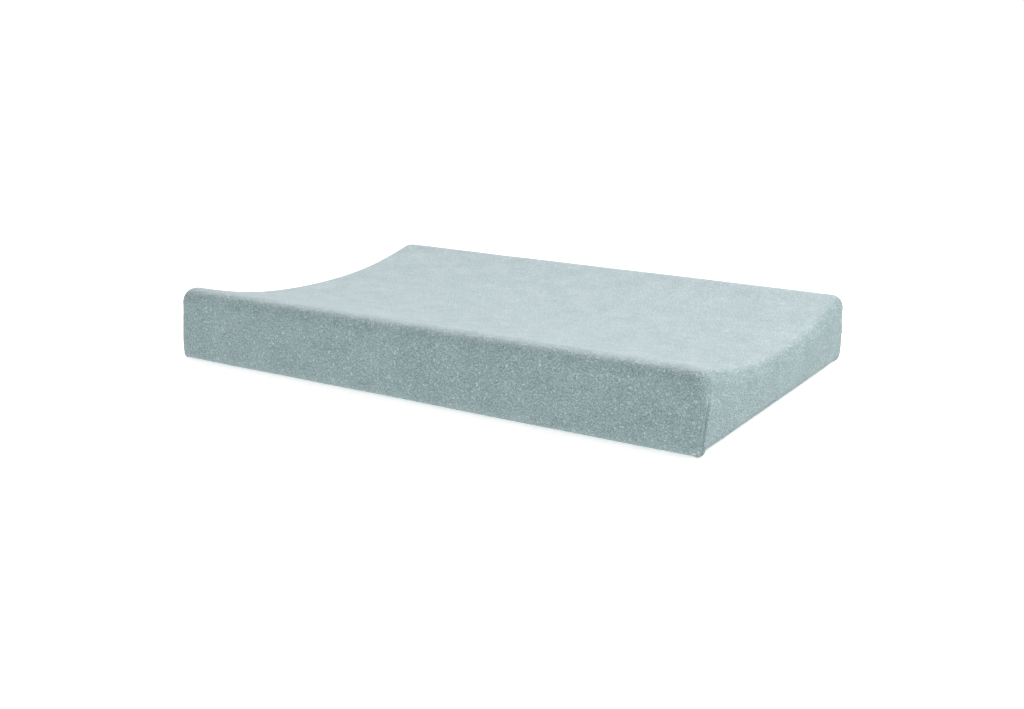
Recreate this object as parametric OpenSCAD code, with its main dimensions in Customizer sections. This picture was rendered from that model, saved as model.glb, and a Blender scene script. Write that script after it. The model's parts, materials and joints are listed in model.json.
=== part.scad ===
// Contoured changing pad: a foam block with raised long sides, in a wipe-clean zipped case,
// under a fitted terry cover whose elastic hem turns in beneath it.
// X runs along the pad, Y across it, Z up. The origin is the middle of the underside.

/* [Terry cover] */
// Length over the terry cover
cover_l = 700; // [600:10:800]
// Width over the terry cover
cover_w = 500; // [440:10:600]
// Thickness of the covered pad along its middle line
mid_h = 60; // [55:1:80]
// Rise of the top from its middle line to the long edges, before those are rounded
side_rise = 35; // [10:1:45]
// Power of the curve that the top follows across the pad
trough_power = 2.2; // [1.8:0.1:3]
// Radius of the cover's top edges and of its four upright corners
edge_r = 24; // [20:1:30]
// Thickness of the terry cloth with its pile
terry_t = 3; // [2:0.5:4]
// Width of the flat border that turns in under the pad
hem_w = 43; // [30:1:60]
// Width of the sewn channel that holds the elastic
casing_w = 14; // [10:1:20]
// Width of the elastic
elastic_w = 9; // [6:1:10]
// Radius of the hem opening's corners
opening_r = 58; // [30:1:80]

/* [Padded case] */
// Thickness of the coated fabric
case_t = 1; // [0.8:0.1:1.5]
// Slack between the case and the terry cover, all round
slack = 0.8; // [0.8:0.1:1.2]
// Extra softness of the case's edges over the cover's own radius
case_soften = 5; // [4:1:6]
// Height of the step round the underside that the hem is pressed into
step_h = 5.6; // [5.6:0.1:8]

/* [Vents] */
// Distance of each vent eyelet from the middle of its end wall
vent_y = 120; // [60:5:150]
// Height of the vent eyelets
vent_z = 21; // [18:1:24]
// Radius of an eyelet's flange
vent_flange_r = 6.5; // [5.5:0.5:8]

/* [Zip] */
// Length of the zip's chain
zip_l = 480; // [300:10:500]
// Width of one zip tape
tape_w = 15; // [12:1:16]
// Length of the slider
slider_l = 12; // [11:0.5:14]
// Width of the slider
slider_w = 9; // [8.8:0.1:10]
// Length of the pull tab from its crossbar
pull_l = 24; // [18:1:28]

/* [Hidden] */

TERRY = [0.64, 0.72, 0.72];
TERRY_SHADE = [0.56, 0.65, 0.66];
COATED = [0.93, 0.93, 0.91];
FOAM = [0.95, 0.90, 0.70];
WEBBING = [0.95, 0.95, 0.94];
METAL = [0.78, 0.77, 0.74];
NYLON = [0.90, 0.90, 0.89];

eps = 0.01;          // overlap that makes cutters pass right through
hair = 0.1;          // gap left at a sewn seam
side_steps = 22;     // flat strips across the trough
corner_steps = 6;    // facets round an upright corner
edge_steps = 6;      // facets over a rounded top edge
round_fn = 48;       // fineness of drawn circles

floor_gap = 0.8;     // the hem clears the surface that the pad rests on
case_in = terry_t + slack;                 // inset of the case's outside from the cover's
case_drop = terry_t + 0.3;                 // depth of the case's top under the cover's
case_r = edge_r + case_soften;
foam_in = case_in + case_t + slack;
foam_drop = case_drop + case_t + 0.3;
foam_r = case_r - case_t;
opening_in = terry_t + hem_w + casing_w;   // inset of the hem opening
plateau_in = opening_in + 3;               // inset of the resting face
casing_h = 4;
groove_h = 9.3;                            // height of the relief over the zip
groove_w = 36;
tape_z = 6.9;
tape_t = 0.6;
tape_over = 22;                            // tape past each end of the chain
groove_l = zip_l + 2 * tape_over + 8;
lip_in = 10;                               // half the gap between the case's lips at the zip
chain_w = 3.1;                             // width of one coil
chain_h = 2;
post_w = 0.8;                              // the slider's dividing post, which parts the coils
slider_x = zip_l / 2 - 2 - slider_l / 2;   // where the closed zip's slider is
pivot_z = 2;
crossbar_r = 0.7;

// Height of the top across the pad, before any layer below it or rounding is taken off
function trough_z(y) = mid_h + side_rise * pow(abs(y) / (cover_w / 2), trough_power);

// Outline of a loaf, shrunk by a given amount: upright corners, and y samples at both ends
function outline(half_l, half_w, r, shrink) =
    let (
        corner = [half_l - r, half_w - r],
        rr = r - shrink,
        ends = [for (k = [1:side_steps - 1]) corner.y * (2 * k / side_steps - 1)],
        arc = function (sx, sy, from) [
            for (k = [0:corner_steps])
                let (a = from + 90 * k / corner_steps)
                [sx * corner.x + rr * cos(a), sy * corner.y + rr * sin(a)]
        ]
    )
    concat(
        [for (y = ends) [corner.x + rr, y]],
        arc(1, 1, 0), arc(-1, 1, 90),
        [for (y = ends) [-corner.x - rr, -y]],
        arc(-1, -1, 180), arc(1, -1, 270)
    );

// One ring of the rounded top: lift 0 is where the wall ends, and 90 is the full height
function ring(inset, drop, r, lift) = [
    for (p = outline(cover_l / 2 - inset, cover_w / 2 - inset, r, r * (1 - cos(lift))))
        [p.x, p.y, trough_z(p.y) - drop - r * (1 - sin(lift))]
];

function flat_ring(inset, r, z) = plan_at(cover_l / 2 - inset, cover_w / 2 - inset, r, z);
function plan_at(half_l, half_w, r, z) = [
    for (p = outline(half_l, half_w, r, 0)) [p.x, p.y, z]
];

// Rings from the wall's top up to just before each corner's arc shrinks to a point
last_lift = 86;
function dome(inset, drop, r) = [
    for (k = [0:edge_steps]) ring(inset, drop, r, last_lift * k / edge_steps)
];

// Triangles between ring a and ring b of n points
function band(n, a, b) = [
    for (k = [0:n - 1])
        let (j = (k + 1) % n)
        each [[a * n + k, a * n + j, b * n + j], [a * n + k, b * n + j, b * n + k]]
];
function flip(faces) = [for (f = faces) [for (k = [len(f) - 1:-1:0]) f[k]]];
function shift(faces, by) = [for (f = faces) [for (k = f) k + by]];

// The last ring's two ends mirror each other, so a strip joins each pair of end points
function lid(n, last) =
    let (
        right = n - corner_steps - 1,
        strips = side_steps + 2 * corner_steps
    )
    [
        for (k = [0:strips - 1])
            let (a = (right + k) % n, b = right - 1 - k)
            for (f = [[b, a, (a + 1) % n], [b, (a + 1) % n, b - 1]]) [for (q = f) last * n + q]
    ];

function ring_size() = 2 * (side_steps - 1) + 4 * (corner_steps + 1);

// Solid whose surface runs through the given rings, under a dome
module loaf(under, inset, drop, r) {
    n = ring_size();
    rings = concat(under, dome(inset, drop, r));
    last = len(rings) - 1;
    faces = concat(
        flip(lid(n, 0)),
        [for (k = [0:last - 1]) each band(n, k, k + 1)],
        lid(n, last)
    );
    polyhedron([for (q = rings) each q], flip(faces), convexity = 6);
}

// Shell between two domes, with or without walls down to height z
module skin(outer, inner, z) {
    n = ring_size();
    walls = z == undef ? [] : [z];
    a = concat([for (h = walls) flat_ring(outer[0], outer[2], h)], dome(outer[0], outer[1], outer[2]));
    b = concat([for (h = walls) flat_ring(inner[0], inner[2], h)], dome(inner[0], inner[1], inner[2]));
    last = len(a) - 1;
    side = concat([for (k = [0:last - 1]) each band(n, k, k + 1)], lid(n, last));
    under = len(a) * n;
    rim = [
        for (k = [0:n - 1])
            let (j = (k + 1) % n)
            each [[under + k, under + j, j], [under + k, j, k]]
    ];
    faces = concat(side, flip(shift(side, under)), rim);
    polyhedron([for (q = concat(a, b)) each q], flip(faces), convexity = 8);
}

module rounded_plan(inset, r) {
    half_l = cover_l / 2 - inset;
    half_w = cover_w / 2 - inset;
    square([2 * (half_l - r), 2 * half_w], center = true);
    square([2 * half_l, 2 * (half_w - r)], center = true);
    for (sx = [-1, 1], sy = [-1, 1])
        translate([sx * (half_l - r), sy * (half_w - r)]) circle(r, $fn = round_fn);
}

module plan_ring(outer_in, outer_r, inner_in, inner_r) {
    difference() {
        rounded_plan(outer_in, outer_r);
        rounded_plan(inner_in, inner_r);
    }
}

module slab(z0, z1) translate([0, 0, z0]) linear_extrude(z1 - z0) children();

module box(x0, x1, y0, y1, z0, z1)
    translate([x0, y0, z0]) cube([x1 - x0, y1 - y0, z1 - z0]);

// ---- Terry cover ----

module terry_cover()
    color(TERRY)
    skin([0, 0, edge_r], [terry_t, terry_t, edge_r - terry_t], floor_gap);

// Its outer edge follows the inside of the cover's wall, facet by facet
module cover_hem()
    color(TERRY_SHADE)
    slab(floor_gap, floor_gap + terry_t)
    difference() {
        polygon(outline(cover_l / 2 - terry_t, cover_w / 2 - terry_t, edge_r - terry_t, 0));
        rounded_plan(opening_in - casing_w, opening_r + casing_w);
    }

module hem_casing()
    color(TERRY_SHADE)
    difference() {
        slab(floor_gap, floor_gap + casing_h)
            plan_ring(opening_in - casing_w, opening_r + casing_w, opening_in, opening_r);
        slab(floor_gap + 1, floor_gap + casing_h - 1) elastic_plan(0.3);
    }

module elastic_plan(room) {
    mid = opening_in - casing_w / 2;
    out = elastic_w / 2 + room;
    plan_ring(mid - out, opening_r + casing_w / 2 + out, mid + out, opening_r + casing_w / 2 - out);
}

module hem_elastic()
    color(WEBBING)
    slab(floor_gap + 1.4, floor_gap + casing_h - 1.4) elastic_plan(0);

module cover_care_label()
    color(WEBBING)
    box(60, 100, cover_w / 2 - opening_in + 2, cover_w / 2 - opening_in + 32, 0.4, floor_gap);

// Two thicknesses of cloth, sewn together inside an upright corner
module corner_seam(sx, sy) {
    middle = edge_r - (edge_r - terry_t) * sqrt(0.5) + 1.24;
    allowance_w = 7;
    allowance_t = 2.2;
    color(TERRY_SHADE)
    translate([sx * (cover_l / 2 - middle), sy * (cover_w / 2 - middle), floor_gap + casing_h])
    rotate([0, 0, sx * sy * 45])
    translate([-allowance_t / 2, -allowance_w / 2, 0])
    cube([allowance_t, allowance_w, mid_h - floor_gap - casing_h]);
}

// ---- Padded case ----

// From the roof of the zip's relief, down it, out under the middle, up the step and out to the walls
module foam_core() {
    relief = [groove_l / 2 + case_t + 0.5, groove_w / 2 + case_t + 0.5];
    foot_in = plateau_in + case_t;
    top = step_h + case_t;
    color(FOAM)
    loaf([
        plan_at(relief.x, relief.y, 1, groove_h),
        plan_at(relief.x, relief.y, 1, case_t),
        flat_ring(foot_in, opening_r - 3 - case_t, case_t),
        flat_ring(foot_in, opening_r - 3 - case_t, top),
        flat_ring(foam_in, foam_r, top)
    ], foam_in, foam_drop, foam_r);
}

module case_top_sheet()
    color(COATED)
    skin([case_in, case_drop, case_r], [case_in + case_t, case_drop + case_t, case_r - case_t]);

// What lies under the seam that joins the walls to the top sheet
module under_seam() {
    reach = cover_w / 2;
    steps = 60;
    line = [
        for (k = [0:steps])
            let (y = reach * (2 * k / steps - 1))
            [y, trough_z(y) - case_drop - case_r - hair]
    ];
    rotate([90, 0, 90])
    linear_extrude(cover_l, center = true)
    polygon(concat(line, [[reach, 0], [-reach, 0]]));
}

// One wall's share of the outline, mitred at the corners
module wall_share(along_x, side) {
    inner_l = cover_l / 2 - case_in - case_r;
    inner_w = cover_w / 2 - case_in - case_r;
    out = case_in + case_r;
    points = along_x
        ? [[-inner_l, inner_w], [inner_l, inner_w], [inner_l + out, inner_w + out],
           [-inner_l - out, inner_w + out]]
        : [[inner_l, -inner_w], [inner_l, inner_w], [inner_l + out, inner_w + out],
           [inner_l + out, -inner_w - out]];
    rotate([0, 0, side > 0 ? 0 : 180]) polygon(points);
}

module case_wall(along_x, side)
    color(COATED)
    difference() {
        intersection() {
            under_seam();
            slab(step_h + case_t + hair, mid_h + side_rise)
                intersection() {
                    plan_ring(case_in, case_r, case_in + case_t, case_r - case_t);
                    wall_share(along_x, side);
                }
        }
        if (!along_x) at_vents() cylinder(r = vent_flange_r - 2.4, h = 20, center = true, $fn = round_fn);
    }

// Underside: a flange over the hem, a riser, and the face that the pad rests on
module case_underside(side)
    color(COATED)
    intersection() {
        difference() {
            union() {
                slab(step_h, step_h + case_t) rounded_plan(case_in, case_r);
                slab(0, step_h + case_t) rounded_plan(plateau_in, opening_r - 3);
            }
            difference() {
                slab(case_t, step_h + case_t + 1) rounded_plan(plateau_in + case_t, opening_r - 3 - case_t);
                box(-groove_l / 2 - case_t, groove_l / 2 + case_t, -groove_w / 2 - case_t,
                    groove_w / 2 + case_t, -1, tape_z);
            }
            box(-groove_l / 2, groove_l / 2, -groove_w / 2, groove_w / 2, -1, tape_z - case_t);
            box(-groove_l / 2, groove_l / 2, -lip_in, lip_in, -1, tape_z + 1);
        }
        box(-cover_l, cover_l, side > 0 ? hair / 2 : -cover_w, side > 0 ? cover_w : -hair / 2, -1, tape_z);
    }

module case_care_label()
    color(WEBBING)
    box(-250, -215, cover_w / 2 - case_in + 0.15, cover_w / 2 - case_in + 0.5, step_h + 1, step_h + 33);

module at_vents()
    for (sx = [-1, 1], sy = [-1, 1])
        translate([sx * (cover_l / 2 - case_in), sy * vent_y, vent_z])
        rotate([0, sx * 90, 0]) children();

module vent_eyelets() {
    barrel_r = vent_flange_r - 2.5;
    color(METAL)
    at_vents()
    difference() {
        union() {
            cylinder(r = vent_flange_r, h = 0.5, $fn = round_fn);
            translate([0, 0, -case_t - slack + 0.2])
                cylinder(r = barrel_r, h = case_t + slack, $fn = round_fn);
        }
        cylinder(r = barrel_r - 0.6, h = 8, center = true, $fn = round_fn);
    }
}

module vent_washers()
    color(METAL)
    at_vents()
    translate([0, 0, -case_t - slack + 0.2])
    difference() {
        cylinder(r = vent_flange_r, h = slack - 0.2, $fn = round_fn);
        cylinder(r = vent_flange_r - 2.4, h = 4, center = true, $fn = round_fn);
    }

// ---- Zip ----

// The tapes meet along the closed chain and part beyond the slider's neck
module zip_tape(side) {
    near = post_w / 2 + 0.15;
    parted = 1.6;
    tape_l = zip_l / 2 + tape_over;
    neck = slider_x - 1;
    color(NYLON)
    slab(tape_z, tape_z + tape_t)
    mirror([0, side > 0 ? 0 : 1])
    polygon([[-tape_l, near], [neck - 4, near], [neck, parted], [tape_l, parted],
             [tape_l, tape_w], [-tape_l, tape_w]]);
}

module zip_coil(side) {
    near = post_w / 2 + 0.15;
    color(NYLON)
    mirror([0, side > 0 ? 0 : 1])
    box(-zip_l / 2, slider_x - 2, near, chain_w, tape_z - chain_h, tape_z);
}

module zip_top_stops()
    color(METAL)
    for (side = [-1, 1])
        box(zip_l / 2 - 1.6, zip_l / 2 + 0.6, side > 0 ? 1.7 : -chain_w, side > 0 ? chain_w : -1.7,
            tape_z - chain_h, tape_z);

module zip_bottom_stop()
    color(METAL)
    box(-zip_l / 2 - 3, -zip_l / 2 - 0.1, -chain_w, chain_w, tape_z - chain_h, tape_z);

// Two plates that a post joins at the neck, with side flanges and a crown for the pull
module zip_slider() {
    plate_t = 1;
    low = tape_z - chain_h - 0.3 - plate_t;
    high = tape_z + tape_t + 0.3;
    flange = 0.8;
    crown_w = 2.6;
    crown_r = 1.6;
    color(METAL)
    translate([slider_x, 0, 0])
    difference() {
        union() {
            slab(low, low + plate_t) slider_plan();
            slab(high, high + plate_t) slider_plan();
            slab(low, tape_z - 0.3)
                difference() {
                    slider_plan();
                    square([2 * slider_l, slider_w - 2 * flange], center = true);
                }
            box(slider_l / 2 - 4.5, slider_l / 2 - 1.5, -post_w / 2, post_w / 2, low, high + plate_t);
            translate([0, 0, pivot_z]) rotate([90, 0, 0]) cylinder(r = crown_r, h = crown_w, center = true, $fn = 32);
            box(-crown_r, crown_r, -crown_w / 2, crown_w / 2, pivot_z, low + eps);
        }
        translate([0, 0, pivot_z]) rotate([90, 0, 0])
            cylinder(r = crossbar_r + 0.08, h = 2 * crown_w, center = true, $fn = 32);
    }
}

// The neck end is as wide as the slider, and the tail narrows
module slider_plan() {
    tail_r = 2;
    translate([slider_l / 2 - tail_r, 0]) square([2 * tail_r, slider_w], center = true);
    translate([-slider_l / 2 + tail_r, 0]) square([2 * tail_r, slider_w - 1], center = true);
    square([slider_l - 2 * tail_r, slider_w], center = true);
}

// A fork whose crossbar runs through the crown, and a flat tab
module zip_pull() {
    arm_y = 1.7;
    arm_w = 1.2;
    tab_t = 1.2;
    tab_w = 2 * (arm_y + arm_w);
    fork_l = 6;
    color(METAL)
    translate([slider_x, 0, pivot_z]) {
        rotate([90, 0, 0]) cylinder(r = crossbar_r, h = tab_w, center = true, $fn = 32);
        for (side = [-1, 1])
            box(-fork_l, 0, side > 0 ? arm_y : -arm_y - arm_w, side > 0 ? arm_y + arm_w : -arm_y,
                -tab_t / 2, tab_t / 2);
        translate([0, 0, -tab_t / 2]) linear_extrude(tab_t) {
            translate([-pull_l + tab_w / 2, -tab_w / 2]) square([pull_l - tab_w / 2 - fork_l + eps, tab_w]);
            translate([-pull_l + tab_w / 2, 0]) circle(tab_w / 2, $fn = 32);
        }
    }
}

terry_cover();
cover_hem();
hem_casing();
hem_elastic();
cover_care_label();
corner_seam(-1, -1);  // corner_seam_front_left
corner_seam(1, -1);  // corner_seam_front_right
corner_seam(-1, 1);  // corner_seam_back_left
corner_seam(1, 1);  // corner_seam_back_right
foam_core();
case_top_sheet();
case_wall(true, -1);  // case_front_wall
case_wall(true, 1);  // case_back_wall
case_wall(false, -1);  // case_left_wall
case_wall(false, 1);  // case_right_wall
case_underside(-1);  // case_bottom_front
case_underside(1);  // case_bottom_back
case_care_label();
vent_eyelets();
vent_washers();
zip_tape(-1);  // zip_tape_front
zip_tape(1);  // zip_tape_back
zip_coil(-1);  // zip_coil_front
zip_coil(1);  // zip_coil_back
zip_top_stops();
zip_bottom_stop();
zip_slider();
zip_pull();
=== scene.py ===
"""A contoured changing pad: foam in a zipped wipe-clean case, under a fitted terry cover.

Lengths are in millimetres until a mesh is made, and then in metres.
"""
import json
import math

import bmesh
import bpy
import numpy as np
from mathutils import Matrix, Vector, noise

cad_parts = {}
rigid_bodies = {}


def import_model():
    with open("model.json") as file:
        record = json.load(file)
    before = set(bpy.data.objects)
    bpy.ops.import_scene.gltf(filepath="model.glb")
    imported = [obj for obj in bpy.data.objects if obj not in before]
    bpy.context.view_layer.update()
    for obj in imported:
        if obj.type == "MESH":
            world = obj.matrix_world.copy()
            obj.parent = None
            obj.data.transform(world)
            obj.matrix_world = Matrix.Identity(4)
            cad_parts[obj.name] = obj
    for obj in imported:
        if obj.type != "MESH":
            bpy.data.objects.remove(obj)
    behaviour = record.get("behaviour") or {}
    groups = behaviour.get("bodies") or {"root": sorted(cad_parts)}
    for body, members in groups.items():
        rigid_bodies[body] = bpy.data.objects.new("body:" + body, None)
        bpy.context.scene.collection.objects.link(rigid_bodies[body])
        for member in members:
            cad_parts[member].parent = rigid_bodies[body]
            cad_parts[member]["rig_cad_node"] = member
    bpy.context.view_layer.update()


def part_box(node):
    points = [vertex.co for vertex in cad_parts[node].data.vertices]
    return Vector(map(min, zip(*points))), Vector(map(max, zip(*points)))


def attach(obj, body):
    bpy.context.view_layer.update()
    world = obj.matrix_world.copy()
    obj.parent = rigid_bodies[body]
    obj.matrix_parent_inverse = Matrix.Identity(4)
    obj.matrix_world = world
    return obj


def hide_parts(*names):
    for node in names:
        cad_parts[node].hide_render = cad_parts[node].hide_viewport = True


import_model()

MM = 0.001

# ---- Sizes that the CAD gives ----


def box_mm(node):
    low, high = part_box(node)
    return np.array(low) / MM, np.array(high) / MM


cover_low, cover_high = box_mm("terry_cover")
HALF_L, HALF_W = cover_high[0], cover_high[1]
FLOOR_GAP = cover_low[2]
CASING_MID = FLOOR_GAP + 2.05
MID_H, SIDE_RISE, TROUGH_POWER = 60.0, 35.0, 2.2
EDGE_R = np.array([17.0, 25.0])  # rounding of the top's edges at the ends, and along the sides
TERRY_T = 3.0
HEM_INSET = HALF_L - box_mm("hem_casing")[1][0]
CASING_HALF = 7.0
OPENING_INSET = HEM_INSET + 2 * CASING_HALF
OPENING_R = 58.0
CASE_INSET = HALF_L - box_mm("case_top_sheet")[1][0]
CASE_DROP, CASE_R = 3.3, np.array([29.0, 29.0])
STEP_H = 5.6
PLATEAU_INSET = OPENING_INSET + 3.0
tape_high = box_mm("zip_tape_back")[1]
coil_low, coil_high = box_mm("zip_coil_back")
slider_low, slider_high = box_mm("zip_slider")
SLIDER_X = (slider_low[0] + slider_high[0]) / 2
GROOVE_HALF_L, GROOVE_HALF_W = tape_high[0] + 4.0, 18.0
LIP_IN, LIP_Z = 10.0, 5.9


def trough_z(y):
    return MID_H + SIDE_RISE * np.abs(y / HALF_W) ** TROUGH_POWER


def smooth(t):
    t = np.clip(t, 0.0, 1.0)
    return t * t * (3 - 2 * t)


def noise_at(points, size, seed=0.0):
    """Smooth noise from -1 to 1 at each point, with bumps about size across."""
    return np.array([noise.noise(Vector((x + seed, y - seed, z)))
                     for x, y, z in (points / size).tolist()])


# ---- Loaf: the shape that the cover, the case and the foam all share ----

SEAM_ROUND = 19.0  # how far round each corner, on the nominal box, the upright seam is
CORNER = 24.0  # width, on the nominal box, of the zones that become rounded edges


class Layer:
    """How far one skin of the loaf lies inside the cover's outline, and how its edges round."""

    def __init__(self, inset, drop, r, low_r, foot, z0, pinch=0.0):
        self.a, self.b = HALF_L - inset, HALF_W - inset
        self.drop, self.r, self.low_r, self.foot, self.z0 = drop, r, low_r, foot, z0
        self.pinch = pinch

    def foot_at(self, bx, by):
        """Radius that the wall turns under with. It is tighter where a seam comes down."""
        tight = self.pinch * np.where(by < 0, 1.0, 0.35)
        return self.foot - tight * np.exp(-(seam_distance(bx, by) / 13.0) ** 2)


def seam_distance(bx, by):
    """Distance on the nominal box from the nearest upright seam, which is on an end face."""
    return (HALF_L - np.abs(bx)) + np.abs(HALF_W - SEAM_ROUND - np.abs(by))


def axis_samples(half, straight, corner):
    """Places along one side of the nominal box, evenly turned round its corners."""
    t = np.linspace(0, 1, corner + 1)[1:]
    zone = CORNER * np.tan(math.pi / 4 * t)
    inner = half - CORNER
    middle = np.linspace(-inner, inner, straight + 1)
    return np.concatenate([-inner - zone[::-1], middle, inner + zone])


def border(nx, ny):
    """Grid places round the edge of a grid, anticlockwise from the +X, -Y corner."""
    right = [(nx - 1, j) for j in range(ny - 1)]
    back = [(i, ny - 1) for i in range(nx - 1, 0, -1)]
    left = [(0, j) for j in range(ny - 1, 0, -1)]
    front = [(i, 0) for i in range(nx - 1)]
    return right + back + left + front


class Lattice:
    """A top grid with rings of wall under it. Each ring is (rise, height, tuck):
    rise turns the wall over the top edge, height is a share of the wall, tuck turns it under."""

    def __init__(self, xs, ys, rings):
        self.nx, self.ny, self.rings = len(xs), len(ys), rings
        edge = border(self.nx, self.ny)
        self.around = len(edge)
        gx, gy = np.meshgrid(xs, ys, indexing="ij")
        ex = np.array([xs[i] for i, _ in edge])
        ey = np.array([ys[j] for _, j in edge])
        count, n = self.nx * self.ny, len(rings)
        self.bx = np.concatenate([gx.ravel(), np.tile(ex, n)])
        self.by = np.concatenate([gy.ravel(), np.tile(ey, n)])
        per = np.array(rings, float).repeat(self.around, axis=0)
        top = np.tile([45.0, 1.0, 0.0], (count, 1))
        self.rise, self.height, self.tuck = np.concatenate([top, per]).T
        index = np.arange(count).reshape(self.nx, self.ny)
        self.top_faces = quads(index)
        loops = [count + k * self.around + np.arange(self.around) for k in range(n)]
        loops.append(np.array([index[i, j] for i, j in edge]))
        self.loops = loops
        self.bands = []
        for low, high in zip(loops[:-1], loops[1:]):
            self.bands.append(np.stack([low, np.roll(low, -1), np.roll(high, -1), high], -1))
        self.faces = np.concatenate([self.top_faces] + self.bands)

    def points(self, layer):
        inner = np.array([HALF_L, HALF_W]) - CORNER
        flat = np.stack([self.bx, self.by], -1)
        base = np.clip(flat, -inner, inner)
        out = np.column_stack([flat - base, CORNER * np.tan(np.radians(self.rise))])
        out /= np.linalg.norm(out, axis=1)[:, None]
        spread = smooth((1 - self.height) / 0.9)[:, None]
        r = layer.r * (1 - spread) + layer.low_r * spread
        foot = layer.foot_at(self.bx, self.by)
        turn = np.radians(self.tuck)
        under = foot * (1 - np.cos(turn))
        left = np.maximum(r - under[:, None], 1.0)
        half = np.array([layer.a, layer.b]) - left - under[:, None]
        plan = base * half / inner + out[:, :2] * left
        facing_end = out[:, 0] ** 2 / np.maximum(out[:, 0] ** 2 + out[:, 1] ** 2, 1e-9)
        top_r = layer.r[1] + (layer.r[0] - layer.r[1]) * facing_end
        crest = trough_z(plan[:, 1]) - layer.drop - top_r
        low = layer.z0 + foot
        z = np.where(self.height < 1, low + self.height * (crest - low), crest)
        z = z + top_r * out[:, 2] - foot * np.sin(turn)
        return np.column_stack([plan, z])


def wall_rings(tucked, straight, risen, tuck_to=90.0):
    """Rings from the tucked-under edge, up the wall, to just short of the top grid."""
    rings = [(0.0, 0.0, t) for t in np.linspace(tuck_to, 0, tucked + 1)[:-1]]
    rings += [(0.0, h, 0.0) for h in np.linspace(0, 1, straight + 1)[:-1]]
    rings += [(r, 1.0, 0.0) for r in np.linspace(0, 45, risen + 1)[:-1]]
    return rings


# ---- Meshes ----


def quads(index, wrap_rows=False, wrap_columns=False):
    """Faces between neighbours in a grid of point numbers, which may close on itself."""
    if wrap_rows:
        index = np.concatenate([index, index[:1]])
    if wrap_columns:
        index = np.concatenate([index, index[:, :1]], axis=1)
    return np.stack([index[:-1, :-1], index[1:, :-1], index[1:, 1:], index[:-1, 1:]],
                    -1).reshape(-1, 4)


def normals_of(points, faces):
    """Unit normals at the points, from faces that are all quads or all triangles."""
    faces = np.asarray(faces)
    if faces.shape[1] == 4:
        across = np.cross(points[faces[:, 2]] - points[faces[:, 0]],
                          points[faces[:, 3]] - points[faces[:, 1]])
    else:
        across = np.cross(points[faces[:, 1]] - points[faces[:, 0]],
                          points[faces[:, 2]] - points[faces[:, 0]])
    total = np.zeros_like(points)
    for k in range(faces.shape[1]):
        np.add.at(total, faces[:, k], across)
    return total / np.maximum(np.linalg.norm(total, axis=1), 1e-9)[:, None]


def used_only(points, faces):
    keep, faces = np.unique(faces, return_inverse=True)
    return points[keep], faces.reshape(-1, 4)


def thicken(points, faces, depth, outward=None):
    """Closes an open sheet of quads into a slab that reaches depth below its faces."""
    down = normals_of(points, faces) if outward is None else outward
    n = len(points)
    edges = np.concatenate([faces[:, [k, (k + 1) % 4]] for k in range(4)])
    key = np.sort(edges, axis=1)
    _, first, uses = np.unique(key, axis=0, return_index=True, return_counts=True)
    rim = edges[first[uses == 1]]
    sides = np.stack([rim[:, 1], rim[:, 0], rim[:, 0] + n, rim[:, 1] + n], -1)
    return (np.concatenate([points, points - down * depth]),
            np.concatenate([faces, faces[:, ::-1] + n, sides]))


def closed_mesh(name, points, faces):
    mesh = bpy.data.meshes.new(name)
    mesh.from_pydata((np.asarray(points) * MM).tolist(), [],
                     faces if isinstance(faces, list) else faces.tolist())
    work = bmesh.new()
    work.from_mesh(mesh)
    bmesh.ops.recalc_face_normals(work, faces=work.faces)
    work.to_mesh(mesh)
    work.free()
    mesh.shade_smooth()
    return mesh


def piece(name, points, faces, body, slot, material, stands_for=()):
    mesh = closed_mesh(name, points, faces)
    mesh.materials.append(material)
    made = bpy.data.objects.new(name, mesh)
    bpy.context.scene.collection.objects.link(made)
    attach(made, body)
    if stands_for:
        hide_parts(*stands_for)
    return made


def tube(path, radius, sides, closed=False, upward=(0, 0, 1)):
    """Points and faces of a round tube along a path, with its ends closed."""
    path = np.asarray(path, float)
    n = len(path)
    if closed:
        along = np.roll(path, -1, 0) - np.roll(path, 1, 0)
    else:
        along = np.gradient(path, axis=0)
    along /= np.linalg.norm(along, axis=1)[:, None]
    side = np.cross(along, np.asarray(upward, float))
    side /= np.maximum(np.linalg.norm(side, axis=1), 1e-9)[:, None]
    over = np.cross(side, along)
    turn = np.linspace(0, 2 * math.pi, sides, endpoint=False)
    ring = (np.cos(turn)[None, :, None] * side[:, None, :]
            + np.sin(turn)[None, :, None] * over[:, None, :])
    size = np.broadcast_to(np.asarray(radius, float), (n,))
    points = (path[:, None, :] + ring * size[:, None, None]).reshape(-1, 3)
    index = np.arange(n * sides).reshape(n, sides)
    nxt = np.roll(index, -1, 0) if closed else index[1:]
    cur = index if closed else index[:-1]
    faces = np.stack([cur, np.roll(cur, -1, 1), np.roll(nxt, -1, 1), nxt], -1).reshape(-1, 4)
    faces = faces[:, ::-1].tolist()
    if not closed:
        faces += [index[0].tolist(), index[-1][::-1].tolist()]
    return points, faces


def join(parts):
    points, faces, base = [], [], 0
    for p, f in parts:
        points.append(p)
        faces += [[q + base for q in face] for face in (f if isinstance(f, list) else f.tolist())]
        base += len(p)
    return np.concatenate(points), faces


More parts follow.
